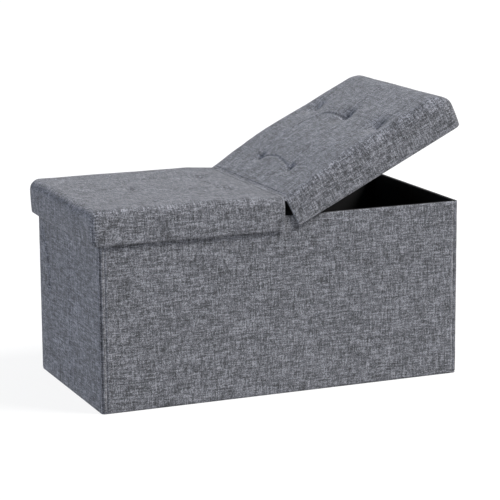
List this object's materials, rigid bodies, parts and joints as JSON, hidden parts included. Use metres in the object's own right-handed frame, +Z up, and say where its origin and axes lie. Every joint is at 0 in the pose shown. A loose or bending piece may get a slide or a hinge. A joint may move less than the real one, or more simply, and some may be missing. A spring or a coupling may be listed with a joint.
{
  "type": "folding storage bench",
  "caption": "Low fabric-covered storage bench with a padded lid that folds up on a seam across its middle, and walls that fold flat.",
  "frame": {"origin": "centre of the base board's underside, on the floor", "axes": "+X along the bench towards the raised half of the lid, -Y towards the front, +Z up"},
  "size_m": [0.749, 0.385, 0.5483],
  "materials": {
    "cover_fabric": "matte",
    "lining_fabric": "matte",
    "fibreboard": "matte",
    "cushion_foam": "matte",
    "seam_thread": "matte"
  },
  "bodies": {
    "box_front": {"base_board": "fibreboard", "base_lining": "lining_fabric", "base_edge_band": "cover_fabric", "front_wall_cover": "cover_fabric", "front_wall_panel": "fibreboard", "front_wall_lining": "lining_fabric", "front_left_corner_seam": "cover_fabric", "front_right_corner_seam": "cover_fabric"},
    "left_end_front": {"left_end_front_cover": "cover_fabric", "left_end_front_panel": "fibreboard", "left_end_front_lining": "lining_fabric"},
    "left_end_back": {"left_end_back_cover": "cover_fabric", "left_end_back_panel": "fibreboard", "left_end_back_lining": "lining_fabric"},
    "box_back": {"back_wall_cover": "cover_fabric", "back_wall_panel": "fibreboard", "back_wall_lining": "lining_fabric", "back_left_corner_seam": "cover_fabric", "back_right_corner_seam": "cover_fabric"},
    "right_end_front": {"right_end_front_cover": "cover_fabric", "right_end_front_panel": "fibreboard", "right_end_front_lining": "lining_fabric"},
    "right_end_back": {"right_end_back_cover": "cover_fabric", "right_end_back_panel": "fibreboard", "right_end_back_lining": "lining_fabric"},
    "lid_left": {"lid_left_cover": "cover_fabric", "lid_left_cushion": "cushion_foam", "lid_left_board": "fibreboard", "lid_left_lining": "lining_fabric", "lid_left_front_rail": "fibreboard", "lid_left_back_rail": "fibreboard", "lid_left_end_rail": "fibreboard", "lid_left_tuft_tie_1": "seam_thread", "lid_left_tuft_tie_2": "seam_thread", "lid_left_tuft_tie_3": "seam_thread", "lid_left_tuft_tie_4": "seam_thread", "lid_left_tuft_tie_5": "seam_thread", "lid_hinge_seam": "seam_thread"},
    "lid_right": {"lid_right_cover": "cover_fabric", "lid_right_cushion": "cushion_foam", "lid_right_board": "fibreboard", "lid_right_lining": "lining_fabric", "lid_right_front_rail": "fibreboard", "lid_right_back_rail": "fibreboard", "lid_right_end_rail": "fibreboard", "lid_right_tuft_tie_1": "seam_thread", "lid_right_tuft_tie_2": "seam_thread", "lid_right_tuft_tie_3": "seam_thread", "lid_right_tuft_tie_4": "seam_thread", "lid_right_tuft_tie_5": "seam_thread"}
  },
  "joints": [
    {"name": "lid_lift", "type": "slide", "parent": "box_front", "child": "lid_left", "axis": [0, 0, 1], "range_m": [0, 0.15]},
    {"name": "lid_fold", "type": "hinge", "parent": "lid_left", "child": "lid_right", "pos_m": [0, 0, 0.3816], "axis": [0, -1, 0], "range_deg": [-26.3, 143.7]},
    {"name": "wall_fold", "type": "hinge", "parent": "box_front", "child": "left_end_front", "pos_m": [-0.36125, -0.17825, 0.175], "axis": [0, 0, -1], "range_deg": [0, 88]},
    {"name": "left_end_crease", "type": "hinge", "parent": "left_end_front", "child": "left_end_back", "pos_m": [-0.36915, 0, 0.175], "axis": [0, 0, -1], "range_deg": [-176, 0]},
    {"name": "back_left_corner", "type": "hinge", "parent": "left_end_back", "child": "box_back", "pos_m": [-0.36125, 0.17825, 0.175], "axis": [0, 0, -1], "range_deg": [0, 88]},
    {"name": "front_right_corner", "type": "hinge", "parent": "box_front", "child": "right_end_front", "pos_m": [0.36125, -0.17825, 0.175], "axis": [0, 0, 1], "range_deg": [0, 88]},
    {"name": "right_end_crease", "type": "hinge", "parent": "right_end_front", "child": "right_end_back", "pos_m": [0.36915, 0, 0.175], "axis": [0, 0, 1], "range_deg": [-176, 0]}
  ],
  "couplings": [
    {"joint": "left_end_crease", "follows": "wall_fold", "ratio": -2},
    {"joint": "back_left_corner", "follows": "wall_fold", "ratio": 1},
    {"joint": "front_right_corner", "follows": "wall_fold", "ratio": 1},
    {"joint": "right_end_crease", "follows": "wall_fold", "ratio": -2}
  ]
}
